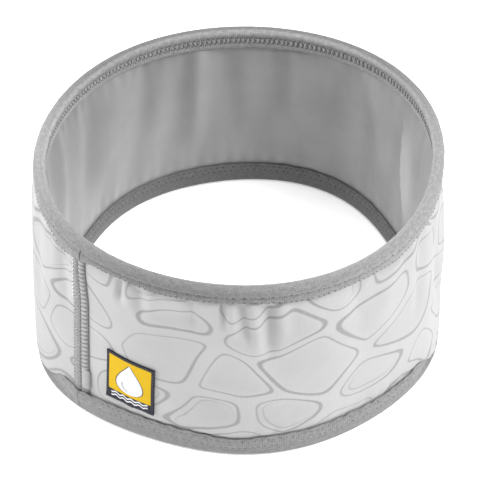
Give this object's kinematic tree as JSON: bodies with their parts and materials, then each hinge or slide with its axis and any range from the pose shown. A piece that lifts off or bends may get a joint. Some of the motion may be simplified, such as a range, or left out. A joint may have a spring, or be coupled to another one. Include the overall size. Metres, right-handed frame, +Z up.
{
  "type": "cooling bandana",
  "caption": "Pull-on cooling neck band: a wide ring of printed cloth with a grey lining, knit-bound edges, a taped seam and a small sewn label.",
  "frame": {"origin": "middle of the band's plan extent, on the surface that it stands on", "axes": "+Z up through the neck opening, -Y the front, and +X the right-hand side seen from the front; the seam and the label lie left of the front"},
  "size_m": [0.1526, 0.1624, 0.0787],
  "materials": {
    "printed_cloth": "fine matt weave, pale grey with a printed outline pattern",
    "lining_cloth": "smooth grey weave with a soft satin sheen",
    "binding_knit": "matt heather grey stretch knit",
    "tape_knit": "matt heather grey ribbed knit",
    "label_weave": "woven label, yellow field with a dark border"
  },
  "bodies": {
    "root": {"outer_shell": "printed_cloth", "lining": "lining_cloth", "top_binding": "binding_knit", "bottom_binding": "binding_knit", "seam_tape": "tape_knit", "label": "label_weave"}
  },
  "joints": []
}
